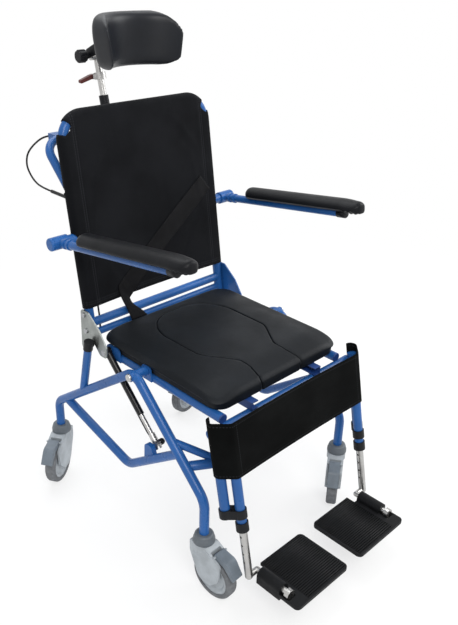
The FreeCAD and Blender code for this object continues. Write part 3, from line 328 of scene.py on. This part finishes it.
AZ, EL, ROLL = math.radians(-45.42), math.radians(26.7), math.radians(1.66)
CAMERA_X, CAMERA_Y, CAMERA_Z = -1.21224, -1.28736, 1.47288
SENSOR = 36.0
FOCAL_PIXELS, TALL_PIXELS = 734.36, 625.0
FLOOR_HALF = 6
back = Vector((math.sin(AZ) * math.cos(EL), -math.cos(AZ) * math.cos(EL), math.sin(EL)))
right = (-back).cross(Vector((0, 0, 1))).normalized()
up = right.cross(-back)
turned_right = right * math.cos(ROLL) + up * math.sin(ROLL)
turned_up = up * math.cos(ROLL) - right * math.sin(ROLL)
camera_data = bpy.data.cameras.new("camera")
camera_data.sensor_width = SENSOR
camera_data.lens = FOCAL_PIXELS * SENSOR / TALL_PIXELS
camera_data.clip_start = 0.05
camera = bpy.data.objects.new("camera", camera_data)
scene.collection.objects.link(camera)
camera.matrix_world = Matrix((
    (turned_right.x, turned_up.x, back.x, CAMERA_X),
    (turned_right.y, turned_up.y, back.y, CAMERA_Y),
    (turned_right.z, turned_up.z, back.z, CAMERA_Z),
    (0, 0, 0, 1)))
scene.camera = camera

scene.world = bpy.data.worlds.new("studio")
scene.world.use_nodes = True
sky = Tree(scene.world.node_tree)
sky.nodes.clear()
bright = sky.add("ShaderNodeBackground", None, {"Color": WHITE, "Strength": 1.0})
soft = sky.add("ShaderNodeBackground", None, {"Color": (0.96, 0.98, 1.0, 1.0), "Strength": 0.55})
both = sky.add("ShaderNodeMixShader", None, {0: sky.seen_by_eye(), 1: soft, 2: bright})
sky.add("ShaderNodeOutputWorld", None, {"Surface": both})

floor_mesh = bpy.data.meshes.new("floor")
floor_corners = [(x * FLOOR_HALF, y * FLOOR_HALF, 0) for x, y in ((-1, -1), (1, -1), (1, 1), (-1, 1))]
floor_mesh.from_pydata(floor_corners, [], [(0, 1, 2, 3)])
floor = bpy.data.objects.new("floor", floor_mesh)
scene.collection.objects.link(floor)
pale = Paint("pale_floor", (0.92, 0.92, 0.92, 1.0), 0.9, Specular_IOR_Level=0.1)
away = pale.add("ShaderNodeVectorMath", {"operation": "LENGTH"}, {0: pale.place}, "Value")
lift = pale.add("ShaderNodeEmission", None, {"Color": WHITE, "Strength": 1.0})
share = away.between(0.9, 2.4, 0.70, 1.0) * pale.seen_by_eye()
blend = pale.add("ShaderNodeMixShader", None, {0: share, 1: Value(pale, pale.shader.outputs[0]), 2: lift})
pale.join(pale.nodes["Material Output"], {"Surface": blend})
floor_mesh.materials.append(pale.material)


def lamp(name, place, aim, size, power, tint):
    """A round area lamp at a place, turned towards an aim."""
    data = bpy.data.lights.new(name, "AREA")
    data.shape = "DISK"
    data.size = size
    data.energy = power
    data.color = tint
    item = bpy.data.objects.new(name, data)
    scene.collection.objects.link(item)
    item.location = place
    item.rotation_euler = (Vector(aim) - Vector(place)).to_track_quat("-Z", "Y").to_euler()


lamp("key", (-1.6, -2.6, 3.2), (0, 0, 0.6), 2.2, 95.0, (1.0, 0.99, 0.97))
lamp("side", (2.8, -1.2, 2.4), (0, 0, 0.6), 2.4, 60.0, (1.0, 1.0, 1.0))
lamp("top", (0.2, 1.2, 3.4), (0, 0.1, 0.5), 2.6, 55.0, (0.97, 0.99, 1.0))
scene.view_settings.view_transform = "Standard"

# Meshes from grids of points

SEW = 0.00015


def smooth(value, low, high):
    """0 below low, 1 above high, and the cubic 3t2 - 2t3 between."""
    t = np.clip((value - low) / (high - low), 0.0, 1.0)
    return t * t * (3 - 2 * t)


def quads(rows, cols, start):
    """Corner numbers of the faces between the points of a grid."""
    first = start + np.arange(rows - 1)[:, None] * cols + np.arange(cols - 1)[None, :]
    return np.stack((first, first + 1, first + cols + 1, first + cols), axis=-1).reshape(-1, 4)


def opened(points, faces, openings):
    """Faces wholly inside a rod's cylinder go; points left inside it move straight out to its wall."""
    keep = np.ones(len(faces), bool)
    for start, ahead, radius, reach in openings:
        ahead = np.array(ahead) / np.linalg.norm(ahead)
        off = points - np.array(start)
        along = off @ ahead
        aside = off - along[:, None] * ahead
        gap = np.linalg.norm(aside, axis=1)
        inside = (along > 0) & (along < reach) & (gap < radius)
        keep &= ~inside[faces].all(axis=1)
        moved = inside & (gap > 0.001)
        points[moved] += aside[moved] * (radius / gap[moved] - 1)[:, None]
    used, numbers = np.unique(faces[keep], return_inverse=True)
    return points[used], numbers.reshape(-1, 4)


def merged(mesh):
    """Points nearer than SEW become one, and the faces turn the same way, outwards where the mesh closes."""
    work = bmesh.new()
    work.from_mesh(mesh)
    bmesh.ops.remove_doubles(work, verts=work.verts, dist=SEW)
    bmesh.ops.recalc_face_normals(work, faces=work.faces)
    work.to_mesh(mesh)
    work.free()


def joined(name, patches, openings=()):
    """One mesh object from grids of points in mm, sewn where their edges meet."""
    points = np.concatenate([patch.reshape(-1, 3) for patch in patches])
    starts = np.cumsum([0] + [patch.shape[0] * patch.shape[1] for patch in patches])
    faces = np.concatenate([quads(*patch.shape[:2], start) for patch, start in zip(patches, starts)])
    points, faces = opened(points, faces, openings)
    mesh = bpy.data.meshes.new(name)
    mesh.from_pydata((points * MM).tolist(), [], faces.tolist())
    merged(mesh)
    item = bpy.data.objects.new(name, mesh)
    scene.collection.objects.link(item)
    return item


def finished(item, finish, body):
    """Smooth shading, one material and the body that carries the piece."""
    mesh = item.data
    mesh.materials.clear()
    mesh.materials.append(finish)
    mesh.polygons.foreach_set("use_smooth", np.ones(len(mesh.polygons), bool))
    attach(item, body)


def thicken(item, thickness):
    """Half of a cloth's thickness to each side of its middle surface."""
    wall = item.modifiers.new("thickness", "SOLIDIFY")
    wall.thickness = thickness * MM
    wall.offset = 0.0
    wall.use_even_offset = True


# Cloth pieces

RECLINE = math.radians(8.5)
BACK_UP = np.array((0.0, math.sin(RECLINE), math.cos(RECLINE)))
BACK_BEHIND = np.array((0.0, math.cos(RECLINE), -math.sin(RECLINE)))
CANE_FOOT_Y, CANE_FOOT_Z = 193.0, 557.0
CANE_X = 234.5
SLING_LOW_Z, SLING_HIGH_Z = 602.0, 1086.0
SLING_FOOT = np.array((0.0, CANE_FOOT_Y + (SLING_LOW_Z - CANE_FOOT_Z) * math.tan(RECLINE), SLING_LOW_Z))
SLING_TOP = (SLING_HIGH_Z - SLING_LOW_Z) / math.cos(RECLINE)
SLING_HALF = 214.0
CLOTH_R = 14.15
CLOTH_THICK, BELT_THICK = 2.5, 2.0
BEND_R = 62.0
OPEN_FROM, OPEN_TO = 3, 8
OPEN_DRAW = 10.5
SIDE_FLAP_X, TOP_FLAP = 172.5, 45.0


def folds(across, up, places):
    """Soft folds: each is a ridge with a bell-shaped section, long along its own slant."""
    depth = np.zeros(np.broadcast(across, up).shape)
    for x, rise, lean, half_long, half_wide, deep in places:
        turn = math.atan(lean)
        along = (across - x) * math.sin(turn) + (up - rise) * math.cos(turn)
        beside = (across - x) * math.cos(turn) - (up - rise) * math.sin(turn)
        depth = depth + deep * np.exp(-(along / half_long) ** 2 - (beside / half_wide) ** 2)
    return depth


def on_back(x, behind, up):
    """Points measured from the sling's lower edge: across, behind the back's plane and up it, in mm."""
    x, behind, up = np.broadcast_arrays(x, behind, up)
    return (SLING_FOOT + x[..., None] * np.array((1.0, 0.0, 0.0))
            + behind[..., None] * BACK_BEHIND + up[..., None] * BACK_UP)


def sling_depth(x, up):
    """How far the panel lies behind its tight plane: a parabola across that deepens downwards, and folds."""
    span = np.clip(1 - (x / SLING_HALF) ** 2, 0, None)
    hang = 9.0 * span * smooth(SLING_TOP - up, 10.0, 320.0)
    free = smooth(SLING_TOP - up, 6.0, 60.0) * smooth(SLING_HALF - np.abs(x), 0.0, 40.0)
    return hang + free * folds(x, up, (
        (-150, 380, 0.9, 120, 11, -1.6), (158, 392, -0.8, 115, 11, -1.6), (-178, 250, 0.25, 110, 9, -1.3),
        (182, 236, -0.2, 120, 9, -1.3), (-120, 60, -0.6, 80, 10, 1.5), (110, 74, 0.55, 90, 10, 1.4),
        (-30, 130, 0.08, 130, 14, 1.1), (60, 210, -0.1, 120, 13, 0.9)))


def back_sling():
    """A panel inside the frame, wrapped half round the canes, their bends and the top bar, then led inwards.

    The panel's edge follows the tube's middle line. Part of each bend stays open, where the edge draws in
    by a sine.
    """
    shoulder = SLING_TOP - BEND_R
    low = np.linspace(0, shoulder, 108)
    bend = np.linspace(0, math.pi / 2, 17)
    open_share = np.clip((np.arange(len(bend)) - OPEN_FROM) / (OPEN_TO - OPEN_FROM), 0.0, 1.0)
    bend_half = CANE_X - BEND_R + BEND_R * np.cos(bend) - OPEN_DRAW * np.sin(math.pi * open_share)
    ups = np.concatenate((low, shoulder + BEND_R * np.sin(bend[1:])))
    half = np.concatenate((np.full(len(low), CANE_X), bend_half[1:]))
    across = np.linspace(-1, 1, 119)
    x = half[:, None] * across[None, :]
    patches = [on_back(x, -CLOTH_R + sling_depth(x, ups[:, None]), ups[:, None])]
    turn = np.linspace(-math.pi / 2, math.pi / 2, 17)
    side_flap = np.linspace(CANE_X, SIDE_FLAP_X, 18)[1:]
    side_x = np.concatenate((CANE_X + CLOTH_R * np.cos(turn), side_flap))
    side_behind = np.concatenate((CLOTH_R * np.sin(turn), np.full(len(side_flap), CLOTH_R)))
    patches += [on_back(s * side_x[None, :], side_behind[None, :], low[:, None]) for s in (-1, 1)]
    top_flap = np.linspace(0, TOP_FLAP, 12)[1:]
    top_behind = np.concatenate((CLOTH_R * np.sin(turn), np.full(len(top_flap), CLOTH_R)))
    top_out = np.concatenate((CLOTH_R * np.cos(turn), -top_flap))
    top_x = (CANE_X - BEND_R) * across
    patches.append(on_back(top_x[None, :], top_behind[:, None], SLING_TOP + top_out[:, None]))
    reach = BEND_R + top_out[None, :]
    for covered in (bend[:OPEN_FROM + 1, None], bend[OPEN_TO:, None]):
        patches += [on_back(s * (CANE_X - BEND_R + reach * np.cos(covered)), top_behind[None, :],
                            shoulder + reach * np.sin(covered)) for s in (-1, 1)]
    stub_x, stub_z, stub_r, stub_reach = 238.5, 790.0, 14.2, 40
    push_z, push_r, push_reach = 905.0, 15.8, 60
    push_corner_y, push_corner_z = 352.0, 1012.0
    stub_y = CANE_FOOT_Y + (stub_z - CANE_FOOT_Z) * math.tan(RECLINE)
    push_y = CANE_FOOT_Y + (push_z - CANE_FOOT_Z) * math.tan(RECLINE)
    push_ahead = (0, push_corner_y - push_y, push_corner_z - push_z)
    openings = []
    for s in (-1, 1):
        openings.append(((s * stub_x, stub_y, stub_z), (s, 0, 0), stub_r, stub_reach))
        openings.append(((s * CANE_X, push_y, push_z), push_ahead, push_r, push_reach))
    item = joined("sling_panel", patches, openings)
    thicken(item, CLOTH_THICK)
    finished(item, look["cloth_black"], "tilt_seat")
    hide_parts("back_sling")


def calf_strap():
    """A band in arcs round both posts and hangers and straight across the front, leaning with them.

    The front slackens by a parabola across it, more towards its upper edge, and has soft folds.
    """
    low_z, rise_all, lean = 373.0, 138.0, 0.21
    hanger_x, post_x, fit = 232.0, 258.0, 14.55
    end_x, front_half = 256.0, 226.0
    slack_most, sag_most = 6.5, 2.6
    hanger_foot_y, hanger_foot_z = -387.0, 235.0
    post_foot_y, post_foot_z = -354.0, 277.0
    hanger_y = hanger_foot_y + (low_z - hanger_foot_z) * lean
    post_y = post_foot_y + (low_z - post_foot_z) * lean
    tangent = math.atan2(hanger_x - post_x, post_y - hanger_y)
    post = np.linspace(math.pi / 2, tangent, 18)
    hanger = np.linspace(tangent, -math.pi / 2, 8)
    front = np.linspace(hanger_x, 0, 46)[1:]
    xs = np.concatenate(([end_x], post_x + fit * np.cos(post), hanger_x + fit * np.cos(hanger), front))
    ys = np.concatenate(([post_y + fit], post_y + fit * np.sin(post), hanger_y + fit * np.sin(hanger),
                         np.full(len(front), hanger_y - fit)))
    is_front = np.concatenate((np.zeros(len(xs) - len(front)), np.ones(len(front))))
    xs = np.concatenate((xs, -xs[-2::-1]))
    ys = np.concatenate((ys, ys[-2::-1]))
    is_front = np.concatenate((is_front, is_front[-2::-1]))
    rise = np.linspace(0, rise_all, 40)[:, None]
    span = (is_front * np.clip(1 - (xs / front_half) ** 2, 0, None))[None, :]
    slack = slack_most * span * (0.6 + 0.4 * rise / rise_all)
    creases = span * folds(rise, xs[None, :], (
        (60, -150, 0.18, 90, 12, -1.4), (72, 140, -0.15, 95, 12, -1.4), (34, -20, 0.05, 110, 11, 1.2),
        (96, 40, -0.06, 100, 10, 1.0)))
    y = ys[None, :] + rise * lean + slack + creases
    z = low_z + rise - sag_most * span * rise / rise_all
    item = joined("calf_band", [np.stack(np.broadcast_arrays(xs[None, :], y, z), axis=-1)])
    thicken(item, CLOTH_THICK)
    finished(item, strap_look, "tilt_seat")
    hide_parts("calf_strap")


def safety_belt():
    """A strip along a slanting line on the sling, then off its lower edge in a curve down to the seat."""
    half = 27.0
    clear = 2.6
    end_x, end_y, end_z = -92.0, 164.0, 536.0
    top, foot = np.array((204.0, 252.0)), np.array((-122.0, 12.0))
    run = (foot - top) / np.linalg.norm(foot - top)
    aside = np.array((run[1], -run[0]))
    v = np.linspace(-1, 1, 13)
    t = np.linspace(0, 1, 90)[:, None, None]
    flat = top + (foot - top) * t + aside * (v * half)[None, :, None]
    x, rise = flat[..., 0], flat[..., 1]
    lying = on_back(x, -CLOTH_R - clear + sling_depth(x, np.clip(rise, 0, None)), rise)
    end_xs = end_x + v * half * np.sign(aside[0])
    end = np.stack((end_xs, np.full(len(v), end_y), np.full(len(v), end_z)), axis=-1)
    pull = (lying[-1] - lying[-6]) * 2.5
    t = np.linspace(0, 1, 26)[1:, None, None]
    hanging = (lying[-1] + pull * t * (1 - t) ** 2) * (1 - t) + end * t
    item = joined("belt_strip", [np.concatenate((lying, hanging))])
    thicken(item, BELT_THICK)
    finished(item, look["webbing_black"], "tilt_seat")
    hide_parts("safety_belt")


# Foam pads

def pad(name, source, voxel, passes, body, finish, form):
    """A pad with the room of its solid: an even fine skin, its edges eased, then shaped by a form."""
    start = nodes[source].data.copy()
    merged(start)
    item = bpy.data.objects.new(name, start)
    scene.collection.objects.link(item)
    skin = item.modifiers.new("skin", "REMESH")
    skin.mode = "VOXEL"
    skin.voxel_size = voxel
    ease = item.modifiers.new("ease", "SMOOTH")
    ease.factor = 0.5
    ease.iterations = passes
    bpy.context.view_layer.update()
    made = bpy.data.meshes.new_from_object(item.evaluated_get(bpy.context.evaluated_depsgraph_get()))
    item.modifiers.clear()
    item.data = made
    place = np.empty(len(made.vertices) * 3)
    made.vertices.foreach_get("co", place)
    made.vertices.foreach_set("co", form(place.reshape(-1, 3)).ravel())
    finished(item, finish, body)
    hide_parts(source)


def seat_form(p):
    """The upper half swells to the sides and the rear in smooth steps.

    The top rolls off at its sides and front in squared smooth steps, and dips in a bell round the opening.
    """
    wider, further_back = 0.042, 0.020
    side_roll, front_roll, dip = 0.007, 0.012, 0.0035
    dip_half_x, dip_half_y, dip_y = 0.11, 0.13, -0.02
    x, y, z = p.T
    swell = smooth(z, 0.516, 0.530)
    x = x * (1 + wider * swell)
    y = y + further_back * swell * smooth(y, 0.0, 0.140)
    drop = side_roll * smooth(np.abs(x), 0.130, 0.221) ** 2 + front_roll * smooth(-y, 0.190, 0.286) ** 2
    drop += dip * np.exp(-(x / dip_half_x) ** 2 - ((y - dip_y) / dip_half_y) ** 2)
    return np.stack((x, y, z - drop * smooth(z, 0.512, 0.545)), axis=1)


def head_form(p):
    """The pad narrows downwards in a straight line, from 99 to 83 per cent of its width."""
    middle_z, half_tall = 1.248, 0.066
    middle_share, gain = 0.91, 0.08
    x, y, z = p.T
    return np.stack((x * (middle_share + gain * (z - middle_z) / half_tall), y, z), axis=1)


ARM_RISE = math.radians(8.3)
ARM_Y, ARM_Z = 0.2278, 0.790
ARM_X, ARM_LONG = 288.0, 0.45455


def turned_about_arm(y, z, angle):
    """Places turned about the arm's pivot line, in metres."""
    dy, dz = y - ARM_Y, z - ARM_Z
    return (ARM_Y + dy * math.cos(angle) - dz * math.sin(angle),
            ARM_Z + dy * math.sin(angle) + dz * math.cos(angle))


def arm_form(p):
    """A domed rest with lifted lower edges, a narrowed nose and, under it, ridges from a folded sine.

    The dome is a power of the distance from the middle line; the other changes are smooth steps.
    """
    dome, dome_power, nose_drop, edge_lift = 0.012, 2.2, 0.004, 0.007
    front_cut, length_cut, nose_narrow = 0.006, 0.036, 0.16
    ridge_pitch, ridge_deep = 0.013, 0.0035
    x = p[:, 0]
    y, z = turned_about_arm(p[:, 1], p[:, 2], ARM_RISE)
    middle = (x.min() + x.max()) / 2
    aside = np.abs((x - middle) / (x.max() - middle))
    t = (z - z.min()) / (z.max() - z.min())
    front, rear = y.min(), y.max()
    share = (y - front) / (rear - front)
    y = front + front_cut + share * (rear - front - length_cut)
    z = z - dome * t * aside ** dome_power - nose_drop * t * smooth(0.16 - share, 0.0, 0.16)
    z = z + edge_lift * (1 - t) * smooth(aside, 0.40, 0.95)
    x = middle + (x - middle) * (1 - nose_narrow * smooth(0.12 - share, 0.0, 0.12))
    ridge = np.abs(np.sin(math.pi * (y - front) / ridge_pitch)) * smooth(0.13 - share, 0.0, 0.02)
    z = z - ridge_deep * ridge * smooth(0.35 - t, 0.0, 0.3)
    y, z = turned_about_arm(y, z, -ARM_RISE)
    return np.stack((x, y, z), axis=1)


# Small fittings

def turned(name, profile, start, ahead, finish, body):
    """A solid of revolution: (along, radius) pairs in mm carried round an axis; radius 0 closes a pole."""
    along, radius = np.array(profile, float).T
    ahead = np.array(ahead) / np.linalg.norm(ahead)
    aside = np.cross(ahead, (0.3, 0.5, 0.8))
    aside /= np.linalg.norm(aside)
    angle = np.linspace(0, TURN, 49)[:, None]
    ring = np.cos(angle) * aside + np.sin(angle) * np.cross(ahead, aside)
    grid = np.array(start) + along[:, None, None] * ahead + radius[:, None, None] * ring[None]
    finished(joined(name, [grid]), finish, body)


def tread(side, s):
    """Ribs across a footplate: a clipped sine of the place along Y, let into the plate round its edge."""
    pitch, height, top, low = 6.2, 0.8, 94.0, 93.2
    front_y, rear_y = -557.0, -408.0
    y = np.linspace(front_y, rear_y, 289)[:, None]
    x = s * np.array((29.0, 29.6, 102.0, 174.4, 175.0))[None, :]
    z = top + height * np.clip(0.5 + 1.3 * np.sin(TURN * y / pitch), 0.0, 1.0) + 0 * x
    z[:, (0, -1)] = low
    z[(0, -1), :] = low
    upper = np.stack(np.broadcast_arrays(x, y, z), axis=-1)
    lower = np.stack(np.broadcast_arrays(x, y, np.full_like(z, low)), axis=-1)
    item = joined("tread_ribs_" + side, [upper, lower])
    finished(item, look["footplate_black"], "footplate_" + side)


def arm_cap(side, s):
    """A cap pushed over the arm tube's front end: a thin ring with a slightly domed face."""
    profile = ((-23.0, 11.05), (-23.0, 12.3), (0.6, 12.3), (2.0, 11.2), (2.6, 7.0), (2.7, 0.0), (0.15, 0.0),
               (0.15, 11.05), (-23.0, 11.05))
    end_y, end_z = turned_about_arm(ARM_Y - ARM_LONG, ARM_Z, -ARM_RISE)
    ahead = (0, -math.cos(ARM_RISE), math.sin(ARM_RISE))
    turned("arm_cap_" + side, profile, (s * ARM_X, end_y / MM, end_z / MM), ahead, look["black_plastic"],
           "armrest_" + side)


def spring_foot_cap():
    """A round cap with a domed end on the inner end of the spring's foot pin."""
    profile = ((0.05, 0.0), (0.05, 6.5), (2.0, 8.6), (9.0, 8.6), (12.5, 6.4), (13.6, 0.0))
    turned("spring_foot_cap", profile, (-228.0, -79.0, 311.0), (1, 0, 0), look["black_plastic"], "base")


def cable_loop():
    """The release cable's free bend: a quadratic spline from the lever bracket round to the ferrule."""
    cable_r = 0.0025
    route = ((-194.5, 388, 1014), (-198, 412, 1008), (-206, 447, 984), (-212, 475, 956), (-214, 483, 931),
             (-216, 476, 910), (-219, 444, 887), (-221, 404, 878), (-223, 352, 880))
    line = bpy.data.curves.new("release_cable", "CURVE")
    line.dimensions = "3D"
    line.bevel_depth = cable_r
    line.bevel_resolution = 5
    line.use_fill_caps = True
    strand = line.splines.new("NURBS")
    strand.points.add(len(route) - 1)
    strand.points.foreach_set("co", np.column_stack((np.array(route) * MM, np.ones(len(route)))).ravel())
    strand.order_u = 3
    strand.use_endpoint_u = True
    strand.resolution_u = 10
    item = bpy.data.objects.new("release_cable", line)
    scene.collection.objects.link(item)
    line.materials.append(look["cable_black"])
    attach(item, "tilt_seat")
    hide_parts("cable_loop")


back_sling()
calf_strap()
safety_belt()
pad("seat_cushion", "seat_pad", 0.0035, 5, "tilt_seat", look["foam_skin"], seat_form)
pad("plug_cushion", "seat_plug", 0.0030, 4, "seat_plug", look["foam_skin"], seat_form)
pad("head_cushion", "headrest_pad", 0.0030, 36, "head_pad", head_look, head_form)
for side, s in (("right", -1), ("left", 1)):
    pad("arm_cushion_" + side, "armrest_pad_" + side, 0.0025, 10, "armrest_" + side, arm_look, arm_form)
    arm_cap(side, s)
    tread(side, s)
spring_foot_cap()
cable_loop()
